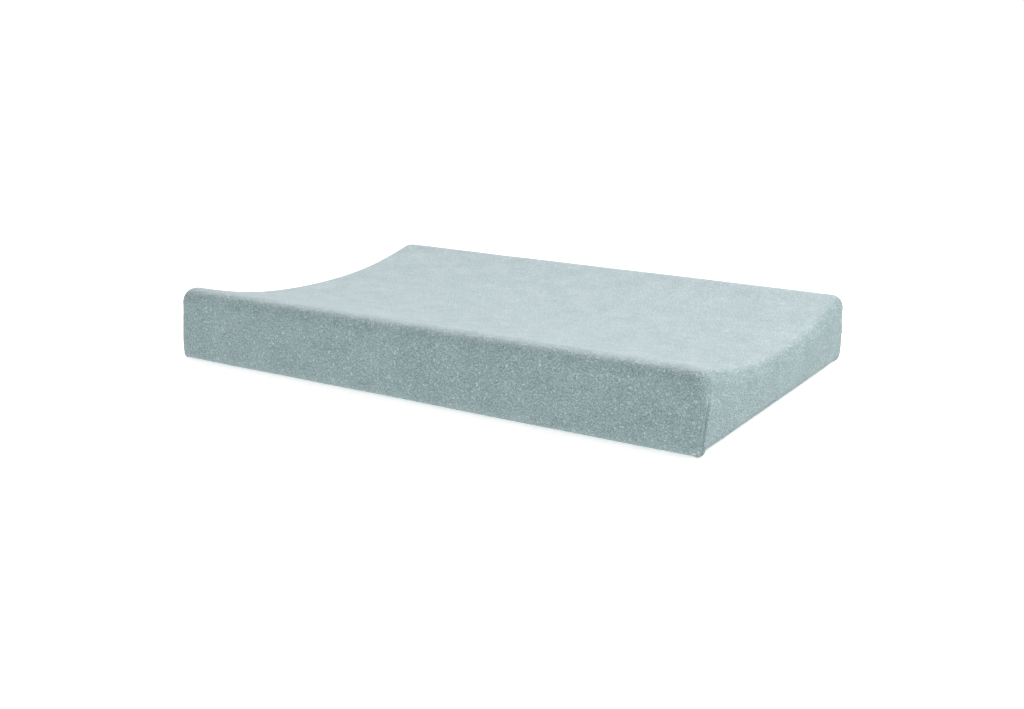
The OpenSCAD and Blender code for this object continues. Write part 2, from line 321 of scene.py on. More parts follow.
def stitches(path, outward, pitch, length, radius, lift=0.0, closed=True):
    """A row of short thread stitches that dip at both ends, along a path of points."""
    path, outward = np.asarray(path, float), np.asarray(outward, float)
    ends = np.concatenate([path, path[:1]]) if closed else path
    outs = np.concatenate([outward, outward[:1]]) if closed else outward
    step = np.linalg.norm(np.diff(ends, axis=0), axis=1)
    at = np.concatenate([[0], np.cumsum(step)])
    places = np.arange(pitch / 2, at[-1] - pitch / 2, pitch)
    sides, rings = 5, np.array([-1.0, -0.6, 0.0, 0.6, 1.0])
    sink = np.array([-1.1, 0.1, 0.5, 0.1, -1.1]) * radius + lift
    girth = np.array([0.55, 1.0, 1.0, 1.0, 0.55]) * radius

    def where(s, of):
        return np.stack([np.interp(s, at, of[:, k]) for k in range(3)], -1)

    middle = where(places[:, None] + rings * length / 2, ends)
    out = where(places, outs)
    out /= np.linalg.norm(out, axis=1)[:, None]
    ahead = middle[:, -1] - middle[:, 0]
    ahead /= np.linalg.norm(ahead, axis=1)[:, None]
    side = np.cross(ahead, out)
    turn = np.linspace(0, 2 * math.pi, sides, endpoint=False)
    circle = (np.cos(turn)[None, :, None] * side[:, None, :]
              + np.sin(turn)[None, :, None] * out[:, None, :])
    points = (middle[:, :, None, :] + out[:, None, None, :] * sink[None, :, None, None]
              + circle[:, None, :, :] * girth[None, :, None, None])
    n = len(places)
    index = np.arange(n * 5 * sides).reshape(n, 5, sides)
    wall = np.stack([index[:, :-1], np.roll(index[:, :-1], -1, 2),
                     np.roll(index[:, 1:], -1, 2), index[:, 1:]], -1).reshape(-1, 4)
    faces = wall.tolist() + index[:, 0, ::-1].tolist() + index[:, -1].tolist()
    return points.reshape(-1, 3), faces


def rounded_path(a, b, r, straight, corner):
    """Points round a rounded rectangle, with the unit outward direction at each."""
    xs, ys = axis_samples(HALF_L, straight[0], corner), axis_samples(HALF_W, straight[1], corner)
    edge = border(len(xs), len(ys))
    flat = np.array([(xs[i], ys[j]) for i, j in edge])
    inner = np.array([HALF_L, HALF_W]) - CORNER
    base = np.clip(flat, -inner, inner)
    out = flat - base
    out /= np.linalg.norm(out, axis=1)[:, None]
    r = np.broadcast_to(np.asarray(r, float), len(flat))[:, None]
    half = np.stack(np.broadcast_arrays(a, b), -1).reshape(-1, 2) - r
    return base * half / inner + out * r, out


# ---- Materials ----


class Shader:
    """A Principled material, with short ways to add and link nodes."""

    def __init__(self, name, **settings):
        self.material = bpy.data.materials.new(name)
        self.material.use_nodes = True
        self.tree = self.material.node_tree
        self.bsdf = self.tree.nodes["Principled BSDF"]
        for key, value in settings.items():
            self.bsdf.inputs[key.replace("_", " ")].default_value = value
        self.coords = self.add("ShaderNodeTexCoord").outputs
        self.place = self.coords["Object"]

    def add(self, kind, links=None, **settings):
        node = self.tree.nodes.new(kind)
        for key, value in settings.items():
            if hasattr(node, key):
                setattr(node, key, value)
            else:
                node.inputs[key.replace("_", " ")].default_value = value
        for key, source in (links or {}).items():
            self.tree.links.new(source, node.inputs[key])
        return node

    def math(self, operation, a, b=None, clamp=False):
        node = self.tree.nodes.new("ShaderNodeMath")
        node.operation, node.use_clamp = operation, clamp
        for socket, value in zip(node.inputs, (a, b)):
            if value is None:
                continue
            if isinstance(value, (int, float)):
                socket.default_value = value
            else:
                self.tree.links.new(value, socket)
        return node.outputs[0]

    def noise(self, size_mm, detail=2.0, distortion=0.0, rough=0.5, at=None):
        node = self.add("ShaderNodeTexNoise", {"Vector": at or self.place},
                        Scale=1000.0 / size_mm, Detail=detail, Distortion=distortion,
                        Roughness=rough)
        return node.outputs["Fac"]

    def cells(self, size_mm, at=None):
        node = self.add("ShaderNodeTexVoronoi", {"Vector": at or self.place},
                        Scale=1000.0 / size_mm)
        return node.outputs["Distance"]

    def stretched(self, x, y, z):
        return self.add("ShaderNodeMapping", {"Vector": self.place}, Scale=(x, y, z)).outputs[0]

    def range(self, value, low, high, to_low=0.0, to_high=1.0):
        node = self.add("ShaderNodeMapRange", {"Value": value})
        for key, number in (("From Min", low), ("From Max", high), ("To Min", to_low),
                            ("To Max", to_high)):
            node.inputs[key].default_value = number
        return node.outputs[0]

    def mix(self, share, dark, light):
        node = self.tree.nodes.new("ShaderNodeMix")
        node.data_type = "RGBA"
        self.tree.links.new(share, node.inputs["Factor"])
        for socket, colour in ((node.inputs[6], dark), (node.inputs[7], light)):
            if isinstance(colour, tuple):
                socket.default_value = (*colour, 1.0)
            else:
                self.tree.links.new(colour, socket)
        return node.outputs[2]

    def colour(self, output):
        self.tree.links.new(output, self.bsdf.inputs["Base Color"])

    def roughness(self, output):
        self.tree.links.new(output, self.bsdf.inputs["Roughness"])

    def bump(self, height, depth_mm, strength=1.0, over=None):
        links = {"Height": height}
        if over is not None:
            links["Normal"] = over
        node = self.add("ShaderNodeBump", links, Strength=strength, Distance=depth_mm * MM)
        self.tree.links.new(node.outputs[0], self.bsdf.inputs["Normal"])
        return node.outputs[0]


def terry_material(name, dark, light, sheen):
    """Looped cotton pile: curly strands over gaps, in clumps that lie different ways. The gaps
    between loops are painted darker as painted shade, less so on upward faces, which are also
    tinted paler as painted sheen.
    """
    s = Shader(name, Roughness=1.0, Sheen_Weight=sheen, Sheen_Roughness=0.55,
               Specular_IOR_Level=0.12)
    curl = s.noise(3.1, detail=1.3, distortion=1.1)
    ridge = s.range(s.math("ABSOLUTE", s.math("SUBTRACT", curl, 0.5)), 0.0, 0.075, 1.0, 0.0)
    loop = s.range(s.cells(1.85), 0.1, 0.75, 1.0, 0.0)
    fine = s.noise(1.2, detail=1.5)
    clump = s.noise(9.0, detail=2.0)
    patch = s.noise(30.0, detail=2.0)
    pile = s.math("ADD", s.math("MULTIPLY", ridge, 0.5),
                  s.math("ADD", s.math("MULTIPLY", loop, 0.3), s.math("MULTIPLY", fine, 0.35)))
    up = s.add("ShaderNodeSeparateXYZ", {"Vector": s.coords["Normal"]}).outputs["Z"]
    # Upward faces get less painted shade in the gaps, and shallower bumps.
    gap_shade_by_facing = s.range(up, 0.72, 0.98, 1.0, 0.42)
    relief_and_gap_shade = s.math("MULTIPLY", s.math("SUBTRACT", pile, 0.47), gap_shade_by_facing)
    # Low parts of the pile are painted darker as painted shade in the gaps between loops; clump and
    # patch add random tone.
    shade = s.math("ADD", s.math("MULTIPLY", relief_and_gap_shade, 1.36),
                   s.math("ADD", s.math("MULTIPLY", clump, 0.16), s.math("MULTIPLY", patch, 0.3)))
    # Upward faces are tinted paler and less teal: painted sheen on the top.
    top_sheen_tint = s.add("ShaderNodeMix", {"Factor": s.range(up, 0.6, 0.96)}, data_type="RGBA",
                 blend_type="MULTIPLY")
    top_sheen_tint.inputs[7].default_value = (1.07, 1.0, 1.015, 1.0)
    s.tree.links.new(s.mix(s.range(shade, -0.27, 0.56), dark, light), top_sheen_tint.inputs[6])
    s.colour(top_sheen_tint.outputs[2])
    coarse = s.bump(clump, 0.8, 0.3)
    s.bump(relief_and_gap_shade, 1.8, 1.0, over=coarse)
    return s.material


# The dark colour is painted shade in the gaps between loops, and the darker side of random clumps
# and patches.
TERRY_DARK, TERRY_LIGHT = (0.21, 0.34, 0.354), (0.597, 0.73, 0.742)
terry = terry_material("terry", TERRY_DARK, TERRY_LIGHT, 0.2)


def plain_woven(name, colour, deeper, rib_mm, across, rough=0.7, depth=0.15):
    """Narrow woven goods: ribs one way, a finer weft the other way."""
    s = Shader(name, Roughness=rough, Specular_IOR_Level=0.25)
    rib = s.add("ShaderNodeTexWave", {"Vector": s.place}, Scale=500.0 / rib_mm / math.pi,
                Distortion=0.4, bands_direction=across).outputs["Fac"]
    fine = s.noise(0.6, detail=1.0)
    height = s.math("ADD", rib, s.math("MULTIPLY", fine, 0.4))
    # The low parts of the ribs and weft are painted darker: painted shade in the troughs.
    s.colour(s.mix(s.range(height, 0.2, 1.3), deeper, colour))
    s.bump(height, depth, 0.8)
    return s.material


def coated_material(name, colour, deeper):
    """Polyurethane on knitted cloth: a fine pebble over faint creases, with softer wear."""
    s = Shader(name, Specular_IOR_Level=0.42, Coat_Weight=0.08)
    s.bsdf.inputs["Coat Roughness"].default_value = 0.35
    pebble = s.cells(1.1)
    crease = s.noise(38.0, detail=4.0, distortion=0.8)
    wear = s.noise(90.0, detail=3.0)
    s.colour(s.mix(s.range(wear, 0.3, 0.75), deeper, colour))
    s.roughness(s.range(s.noise(14.0, detail=3.0), 0.3, 0.7, 0.36, 0.54))
    over = s.bump(crease, 1.1, 0.45)
    s.bump(pebble, 0.12, 0.5, over=over)
    return s.material


def foam_material(name, colour, deeper):
    s = Shader(name, Roughness=0.95, Specular_IOR_Level=0.1)
    pores = s.cells(1.3)
    fine = s.noise(0.7, detail=2.0)
    height = s.math("ADD", pores, s.math("MULTIPLY", fine, 0.5))
    # The pits of the pores are painted darker: painted shade.
    s.colour(s.mix(s.range(height, 0.2, 0.9), deeper, colour))
    s.bump(height, 0.5, 0.9)
    return s.material


def metal_material(name, colour, rough):
    s = Shader(name, Metallic=1.0)
    brushed = s.noise(0.5, detail=2.0, at=s.stretched(0.06, 1.0, 1.0))
    s.colour(s.mix(s.noise(3.0), tuple(c * 0.86 for c in colour), colour))
    s.roughness(s.range(brushed, 0.3, 0.7, rough - 0.06, rough + 0.08))
    s.bump(brushed, 0.02, 0.4)
    return s.material


def nylon_material(name, colour, deeper, rough=0.42):
    s = Shader(name, Specular_IOR_Level=0.5)
    s.colour(s.mix(s.noise(5.0, detail=2.0), deeper, colour))
    s.roughness(s.range(s.noise(1.2, detail=2.0), 0.3, 0.7, rough - 0.05, rough + 0.1))
    s.bump(s.noise(0.4, detail=1.0), 0.02, 0.4)
    return s.material


def thread_material(name, colour, deeper):
    s = Shader(name, Roughness=0.65, Specular_IOR_Level=0.3)
    ply = s.add("ShaderNodeTexWave", {"Vector": s.place}, Scale=700.0, Distortion=1.0,
                bands_direction="DIAGONAL").outputs["Fac"]
    # The grooves between the plies are painted darker: painted shade.
    s.colour(s.mix(ply, deeper, colour))
    s.bump(ply, 0.05, 0.6)
    return s.material


thread_terry = thread_material("thread_terry", (0.42, 0.53, 0.54), (0.30, 0.40, 0.41))
thread_white = thread_material("thread_white", (0.74, 0.74, 0.72), (0.56, 0.56, 0.54))
coated = coated_material("coated_cloth", (0.62, 0.64, 0.635), (0.55, 0.575, 0.575))
foam = foam_material("foam", (0.87, 0.79, 0.52), (0.62, 0.53, 0.30))
tape_woven = plain_woven("zip_tape", (0.68, 0.69, 0.68), (0.50, 0.51, 0.50), 0.9, "X")
label_satin = plain_woven("label", (0.76, 0.76, 0.74), (0.64, 0.64, 0.62), 0.5, "X", 0.45, 0.05)
elastic_woven = plain_woven("elastic", (0.74, 0.74, 0.72), (0.54, 0.54, 0.52), 1.2, "Y")
nickel = metal_material("satin_nickel", (0.72, 0.70, 0.66), 0.32)
nylon = nylon_material("nylon", (0.70, 0.70, 0.68), (0.62, 0.62, 0.61))

# ---- Camera ----

CAMERA_AT_AZIMUTH, CAMERA_AT_ELEVATION = 30.33, 13.88
CAMERA_DISTANCE, CAMERA_ROLL = 1565.15, 1.45
CAMERA_TARGET = Vector((-18.49, 14.24, 0.38)) * MM


def make_camera():
    data = bpy.data.cameras.new("camera")
    data.sensor_width, data.lens = 36.0, 41.99
    data.clip_start, data.clip_end = 0.05, 60
    camera = bpy.data.objects.new("camera", data)
    bpy.context.scene.collection.objects.link(camera)
    az, el = math.radians(CAMERA_AT_AZIMUTH), math.radians(CAMERA_AT_ELEVATION)
    back = Vector((math.sin(az) * math.cos(el), -math.cos(az) * math.cos(el), math.sin(el)))
    right = Vector((math.cos(az), math.sin(az), 0))
    up = back.cross(right)
    turn = math.radians(CAMERA_ROLL)
    across = right * math.cos(turn) + up * math.sin(turn)
    above = up * math.cos(turn) - right * math.sin(turn)
    place = Matrix((across, above, back)).transposed().to_4x4()
    place.translation = CAMERA_TARGET + back * CAMERA_DISTANCE * MM
    camera.matrix_world = place
    bpy.context.scene.camera = camera


make_camera()

# ---- Terry cover ----

COVER = Layer(inset=0, drop=0, r=EDGE_R, low_r=13.0, foot=12.0, z0=FLOOR_GAP, pinch=8.0)
COVER_INSIDE = Layer(inset=TERRY_T, drop=TERRY_T, r=EDGE_R - TERRY_T, low_r=10.0, foot=9.0,
                     z0=FLOOR_GAP + TERRY_T, pinch=8.0)
cover_xs = axis_samples(HALF_L, 232, 16)
cover_ys = axis_samples(HALF_W, 160, 16)
cover_rings = wall_rings(8, 24, 8)
COARSE = 4  # the inside takes every fourth line of the outside, and every second ring

CORNER_PULL = 2.0  # how far the foot of each corner is drawn in
SEAM_DEPTH = 2.4


def pulled_in(points, height):
    """The corners are drawn in towards the hem, most at the bottom."""
    gap = np.stack([HALF_L - np.abs(points[:, 0]), HALF_W - np.abs(points[:, 1])], -1)
    near = np.exp(-(np.maximum(gap, 0).sum(1) / 42.0) ** 2)
    amount = CORNER_PULL * near * np.clip(1 - height, 0, 1) ** 1.2
    moved = points.copy()
    moved[:, :2] -= np.sign(points[:, :2]) * (amount / math.sqrt(2))[:, None]
    return moved


def slack(points):
    """Cloth lies a little off the foam here and there, never in it."""
    broad = noise_at(points, 150.0, 3.1) * 0.5 + noise_at(points, 60.0, 9.7) * 0.3
    return np.clip(0.45 + broad, 0, 1.2)


def make_cover():
    fine = Lattice(cover_xs, cover_ys, cover_rings)
    outside = pulled_in(fine.points(COVER), fine.height)
    out = normals_of(outside, fine.faces)
    away = seam_distance(fine.bx, fine.by)
    seam_run = smooth((0.86 - fine.height) / 0.3) * (fine.rise == 0)
    groove = -SEAM_DEPTH * np.exp(-(away / 2.1) ** 2)
    lips = 0.6 * np.exp(-((away - 6.0) / 3.5) ** 2)
    pucker = 0.3 * np.exp(-(away / 14.0) ** 2) * np.sin(outside[:, 2] / 1.5)
    pile = noise_at(outside, 5.5) * 0.17 + noise_at(outside, 3.4, 5.0) * 0.12
    moved = outside + out * (slack(outside) + (groove + lips + pucker) * seam_run + pile)[:, None]
    moved[:, 2] = np.maximum(moved[:, 2], 0.2)
    n = len(moved)

    coarse = Lattice(cover_xs[::COARSE], cover_ys[::COARSE], cover_rings[::2])
    inside = pulled_in(coarse.points(COVER_INSIDE), coarse.height)
    inside += normals_of(inside, coarse.faces) * slack(inside)[:, None]
    o, i = fine.loops[0], coarse.loops[0] + n
    faces = fine.faces.tolist() + (coarse.faces[:, ::-1] + n).tolist()
    for m in range(len(i)):
        a, b = i[m], i[(m + 1) % len(i)]
        run = [o[(COARSE * m + k) % len(o)] for k in range(COARSE + 1)]
        faces += [[run[1], run[0], a], [run[2], run[1], a], [b, run[2], a],
                  [run[3], run[2], b], [run[4], run[3], b]]
    return piece("terry_cover", np.concatenate([moved, inside]), faces, "cover", "terry", terry,
                 ["terry_cover"])


cover = make_cover()

# ---- Hem: a border that turns in, and the gathered channel of its elastic ----

HEM_STRAIGHT = (220, 152)
HEM_CORNER = 30
hem_grid = Lattice(axis_samples(HALF_L, HEM_STRAIGHT[0], HEM_CORNER),
                   axis_samples(HALF_W, HEM_STRAIGHT[1], HEM_CORNER), [(0.0, 0.0, 90.0)])
rim_path = pulled_in(hem_grid.points(COVER), hem_grid.height)[hem_grid.loops[0], :2]


def opening_path(inset):
    """The line that lies inset from the cover's outline, round the hem's opening."""
    r = OPENING_R + OPENING_INSET - inset
    return rounded_path(HALF_L - inset, HALF_W - inset, r, HEM_STRAIGHT, HEM_CORNER)


def run_length(path):
    return np.concatenate([[0], np.cumsum(np.linalg.norm(np.diff(path, axis=0), axis=1))])


casing_path, _ = opening_path(OPENING_INSET - CASING_HALF)
casing_run = run_length(casing_path)
gather_phase = np.array([2.2 * noise.noise(Vector((s / 47.0, 0.3, 7.7))) for s in casing_run])
gather = np.sin(2 * math.pi * casing_run / 12.5 + gather_phase)
gather *= 0.75 + 0.25 * np.array([noise.noise(Vector((s / 23.0, 4.4, 1.1))) for s in casing_run])


def make_hem():
    """Cloth from the cover's rim to the channel; the gathers grow towards the elastic."""
    inner, _ = opening_path(HEM_INSET + 1.0)
    rows, low, high = 14, [], []
    for k in range(rows + 1):
        t = k / rows
        plan = rim_path * (1 - t) + inner * t
        flat = np.column_stack([plan, np.zeros(len(plan))])
        fold = gather * 0.95 * smooth(t) + 0.5 * noise_at(flat, 26.0, 2.0) * math.sin(math.pi * t)
        fuzz = 0.12 * noise_at(flat, 5.0)
        middle = FLOOR_GAP + TERRY_T / 2 + 0.25 * smooth(t)
        half = TERRY_T / 2 - 0.3 * smooth(t)
        low.append(np.column_stack([plan, middle + fold - half - fuzz]))
        high.append(np.column_stack([plan, middle + fold + half]))
    n, around = (rows + 1) * len(rim_path), len(rim_path)
    index = np.arange(n).reshape(rows + 1, around)
    sheet = quads(index, wrap_columns=True)
    first, last = index[0], index[-1]
    first_next, last_next = np.roll(first, -1), np.roll(last, -1)
    rims = [np.stack([first, first_next, first_next + n, first + n], -1),
            np.stack([last, last + n, last_next + n, last_next], -1)]
    faces = np.concatenate([sheet, sheet[:, ::-1] + n] + rims)
    points = np.concatenate(low + high)
    points[:, 2] = np.maximum(points[:, 2], 0.15)
    return piece("cover_hem", points, faces, "cover", "terry", terry, ["cover_hem"])


def make_casing():
    """A flattened tube of cloth, ruffled along its free edge."""
    plan, out = opening_path(OPENING_INSET - CASING_HALF)
    sides = 14
    turn = np.linspace(0, 2 * math.pi, sides, endpoint=False)
    across, up = np.cos(turn), np.sin(turn)
    flat = np.sign(across) * np.abs(across) ** 0.8
    free = smooth((1 - across) / 2)
    centre = np.column_stack([plan, np.full(len(plan), CASING_MID)])
    ruffle = gather * 0.5
    edge = 0.9 * np.roll(gather, 3)
    reach = flat[None, :] * 6.9 - free[None, :] * edge[:, None]
    height = (up[None, :] * (1.5 - 0.25 * np.abs(gather)[:, None] * free[None, :])
              + ruffle[:, None] * (0.6 + 0.4 * free[None, :]))
    points = centre[:, None, :] + np.stack([out[:, None, 0] * reach, out[:, None, 1] * reach,
                                            height], -1)
    points = points.reshape(-1, 3)
    points[:, 2] += 0.1 * noise_at(points, 4.0)
    points[:, 2] = np.maximum(points[:, 2], 0.15)
    faces = quads(np.arange(len(points)).reshape(len(plan), sides), True, True)
    return piece("hem_casing", points, faces, "cover", "terry", terry, ["hem_casing"])


def make_hem_stitches():
    rows = []
    for inset, lift in ((HEM_INSET + 1.5, 0.15), (HEM_INSET - 1.2, 0.05)):
        plan, _ = opening_path(inset)
        z = CASING_MID - 1.25 + gather * 0.62
        path = np.column_stack([plan, np.maximum(z, 0.35)])
        rows.append(stitches(path, np.tile([0, 0, -1.0], (len(path), 1)), 3.4, 2.6, 0.28, lift))
    points, faces = join(rows)
    points[:, 2] = np.maximum(points[:, 2], 0.05)
    return piece("hem_stitches", points, faces, "cover", "terry", thread_terry)


hem = make_hem()
casing = make_casing()
hem_stitches = make_hem_stitches()


def cad_mesh(node):
    return next(o.data for o in bpy.data.objects if node in (o.get("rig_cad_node"), o.name))


def plate(name, low, high, wave, body, slot, material, stands_for, axis=2):
    """A thin blank label: a fine grid that ripples, with two faces and a rim."""
    low, high = np.array(low), np.array(high)
    u, v = [k for k in range(3) if k != axis]
    us, vs = np.linspace(low[u], high[u], 25), np.linspace(low[v], high[v], 19)
    gu, gv = np.meshgrid(us, vs, indexing="ij")
    points = np.zeros((gu.size, 3))
    points[:, u], points[:, v] = gu.ravel(), gv.ravel()
    ripple = np.sin(gu.ravel() / 5.0) * np.cos(gv.ravel() / 9.0)
    points[:, axis] = high[axis] - wave * (0.5 + 0.5 * ripple)
    faces = quads(np.arange(gu.size).reshape(gu.shape))
    out = np.zeros((len(points), 3))
    out[:, axis] = 1
    if axis == 1:
        faces = faces[:, ::-1]
    depth = high[axis] - low[axis] - wave
    closed = thicken(points, faces, max(depth, 0.15), out)
    return piece(name, *closed, body, slot, material, stands_for)


label_low, label_high = box_mm("cover_care_label")
LABEL_WAVE = 0.1
plate("cover_care_label", (*label_low[:2], 0.03), (*label_high[:2], 0.33), LABEL_WAVE,
      "cover", "label", label_satin, ["cover_care_label"])


def make_corner_seam(name, sx, sy):
    """Two raw edges of terry, overlocked together, flat inside an upright corner."""
    node_low, node_high = box_mm(name)
    levels = np.linspace(node_low[2], node_high[2], 28)
    top = trough_z(HALF_W - 10) - COVER_INSIDE.drop - COVER_INSIDE.r.mean()
    share = (levels - COVER_INSIDE.z0 - COVER_INSIDE.foot)
    share = np.clip(share / (top - COVER_INSIDE.z0 - COVER_INSIDE.foot), 0, 1)
    spread = smooth((1 - share) / 0.9)[:, None]
    r = (COVER_INSIDE.r * (1 - spread) + COVER_INSIDE.low_r * spread) * (1 - math.sqrt(0.5))
    corner = np.column_stack([COVER_INSIDE.a - r[:, 0], COVER_INSIDE.b - r[:, 1], levels])
    corner = pulled_in(corner, share)
    inward = np.array([-sx, -sy, 0]) / math.sqrt(2)
    side = np.array([-sy, sx, 0]) / math.sqrt(2)
    spine = corner * [sx, sy, 1]
    parts = []
    for layer in (0, 1):
        wave = 0.12 * np.sin(levels / 2.2 + layer)
        middle = spine + inward * (0.55 + 1.05 * layer)
        across = np.linspace(-3.4, 3.4, 9)
        bow = 0.05 * across ** 2 * 0.6
        points = (middle[:, None, :] + side[None, None, :] * across[None, :, None]
                  + inward[None, None, :] * (bow[None, :, None] + wave[:, None, None]))
        points = points.reshape(-1, 3)
        faces = quads(np.arange(len(points)).reshape(len(levels), -1))[:, [0, 3, 2, 1]]
        parts.append(thicken(points, faces, 0.95, np.tile(-inward, (len(points), 1))))
    points, faces = join(parts)
    strip = piece(name, points, faces, "cover", "terry", terry, [name])
    rows = []
    for at in (-2.6, 0.2):
        path = spine + inward * 2.75 + side * at
        rows.append(stitches(path, np.tile(inward, (len(path), 1)), 2.6, 2.1, 0.22, 0.0, False))
    points, faces = join(rows)
    piece(name + "_thread", points, faces, "cover", "terry", thread_terry)
    return strip


corner_seams = [make_corner_seam("corner_seam_%s_%s" % (front, left), sx, sy)
                for front, sy in (("front", -1), ("back", 1))
                for left, sx in (("left", -1), ("right", 1))]

# ---- Wipe-clean case ----

CASE_FOOT = 6.0
CASE_CLOTH, BOTTOM_CLOTH = 0.7, 0.85
CASE = Layer(CASE_INSET, CASE_DROP, CASE_R, low_r=CASE_R[0] - 3, foot=CASE_FOOT, z0=STEP_H)
case_xs = axis_samples(HALF_L, 132, 10)
case_ys = axis_samples(HALF_W, 92, 10)
case_rings = wall_rings(3, 14, 7, tuck_to=45.0)
case_grid = Lattice(case_xs, case_ys, case_rings)
case_points = case_grid.points(CASE)
case_out = normals_of(case_points, case_grid.faces)
SEAM_RING = 3 + 14  # the ring where the walls end and the top sheet begins


def sew_line(points, out, seam_gap, depth=0.7):
    """Cloth dips into a seam and puckers beside it. seam_gap is the distance from the seam."""
    run = points[:, 0] + points[:, 1] * 0.7
    pucker = 0.22 * np.sin(run / 1.35) * np.exp(-(seam_gap / 7.0) ** 2) * (seam_gap > 0.5)
    dip = -depth * np.exp(-(seam_gap / 1.6) ** 2)
    return points + out * (dip + pucker)[:, None]


seam_z = trough_z(case_points[:, 1]) - CASE.drop - CASE_R[0]
upright_gap = np.abs(np.abs(case_grid.bx) - HALF_L) + np.abs(np.abs(case_grid.by) - HALF_W)
on_wall = (case_grid.rise == 0) & (case_grid.height < 1)
seam_gap = np.minimum(np.abs(case_points[:, 2] - seam_z), np.where(on_wall, upright_gap, 99.0))
case_shape = sew_line(case_points, case_out, seam_gap)
case_shape = case_shape - case_out * 0.12 * (1 + noise_at(case_points, 34.0, 4.0))[:, None]


def make_case_shell():
    top_faces = np.concatenate([case_grid.top_faces] + case_grid.bands[SEAM_RING:])
    walls = np.concatenate(case_grid.bands[:SEAM_RING])
    slab = thicken(*used_only(case_shape, top_faces), CASE_CLOTH)
    made = {"top": piece("case_top_sheet", *slab, "pad", "coated_cloth", coated,
                         ["case_top_sheet"])}
    centre = np.stack([case_grid.bx, case_grid.by], -1)[walls].mean(1)
    along_x = np.abs(centre[:, 1]) - HALF_W > np.abs(centre[:, 0]) - HALF_L
    for name, chosen in (("front", along_x & (centre[:, 1] < 0)),
                         ("back", along_x & (centre[:, 1] > 0)),
                         ("left", ~along_x & (centre[:, 0] < 0)),
                         ("right", ~along_x & (centre[:, 0] > 0))):
        node = "case_%s_wall" % name
        slab = thicken(*used_only(case_shape, walls[chosen]), CASE_CLOTH)
        made[name] = piece(node, *slab, "pad", "coated_cloth", coated, [node])
    return made


case_shell = make_case_shell()


def make_case_bottom():
    """Rings from the foot of the walls, under the hem, down the step, and in to the zip."""
    straight, corner = (132, 92), 10
    foot = CASE_FOOT

    def ring(half_l, half_w, r, z):
        plan, _ = rounded_path(half_l, half_w, r, straight, corner)
        return np.column_stack([plan, np.full(len(plan), z)])

    rings = []
    r_low = CASE.low_r
    for turn in (45, 60, 75, 90):
        t = math.radians(turn)
        inward = foot * (1 - math.cos(t))
        rings.append(ring(CASE.a - inward, CASE.b - inward, r_low - inward,
                          STEP_H + foot * (1 - math.sin(t))))
    for inset in (14, 22, 32, 44, 54, PLATEAU_INSET - 3.5):
        t = smooth((inset - 10) / (PLATEAU_INSET - 13.5))
        rings.append(ring(HALF_L - inset, HALF_W - inset, 20 + (OPENING_R - 20) * t, STEP_H))
    plateau_r = OPENING_R - 3
    for inward, z in ((1.5, STEP_H), (0.5, STEP_H - 0.5), (0.0, STEP_H - 1.5), (0.0, 2.2),
                      (-0.4, 0.9), (-1.3, 0.25), (-2.8, 0.0)):
        inset = PLATEAU_INSET - inward
        rings.append(ring(HALF_L - inset, HALF_W - inset, plateau_r + inward, z))
    outer = rings[-1]
    edge = ring(GROOVE_HALF_L + 2.6, GROOVE_HALF_W + 2.6, 3.5, 0.0)
    for t in np.linspace(0, 1, 26)[1:]:
        blend = outer * (1 - t) + edge * t
        lift = 0.16 * (1 + noise_at(blend, 30.0, 6.0)) * math.sin(math.pi * t)
        blend[:, 2] = lift
        rings.append(blend)
    for out, z in ((1.2, 0.3), (0.3, 1.1), (0.0, 2.2), (0.0, 4.4), (-0.5, 5.4), (-1.6, LIP_Z),
                   (-4.0, LIP_Z), (-7.6, LIP_Z)):
        rings.append(ring(GROOVE_HALF_L + out * (1.3 if out < 0 else 1), GROOVE_HALF_W + out,
                          max(2.0 + out * 0.25, 0.4), z))
    around = len(rings[0])
    points = np.concatenate(rings)
    faces = quads(np.arange(len(points)).reshape(len(rings), around), wrap_columns=True)
    centre = points[faces].mean(1)
    middle = np.exp(-(points[:, 1] / 1.6) ** 2) * (np.abs(points[:, 0]) > GROOVE_HALF_L)
    down = normals_of(points, faces)
    points = points - down * (0.7 * middle)[:, None]
    points[:, 2] = np.maximum(points[:, 2], 0.0)
    made = []
    for name, chosen in (("front", centre[:, 1] < 0), ("back", centre[:, 1] > 0)):
        node = "case_bottom_" + name
        slab = thicken(*used_only(points, faces[chosen]), BOTTOM_CLOTH)
        made.append(piece(node, *slab, "pad", "coated_cloth", coated, [node]))
    return made


case_bottoms = make_case_bottom()


def make_case_stitches():
    """Two rows of thread along each lip of the zip."""
    rows = []
    down = [0, 0, -1.0]
    for side in (-1, 1):
        for at in (LIP_IN + 1.6, LIP_IN + 4.2):
            xs = np.linspace(-GROOVE_HALF_L + 3, GROOVE_HALF_L - 3, 200)
            path = np.column_stack([xs, np.full(200, side * at), np.full(200, LIP_Z - 0.04)])
            rows.append(stitches(path, np.tile(down, (200, 1)), 3.2, 2.4, 0.22, 0.0, False))
    return piece("zip_stitches", *join(rows), "pad", "zip_tape", thread_white)


make_case_stitches()

# ---- Foam ----


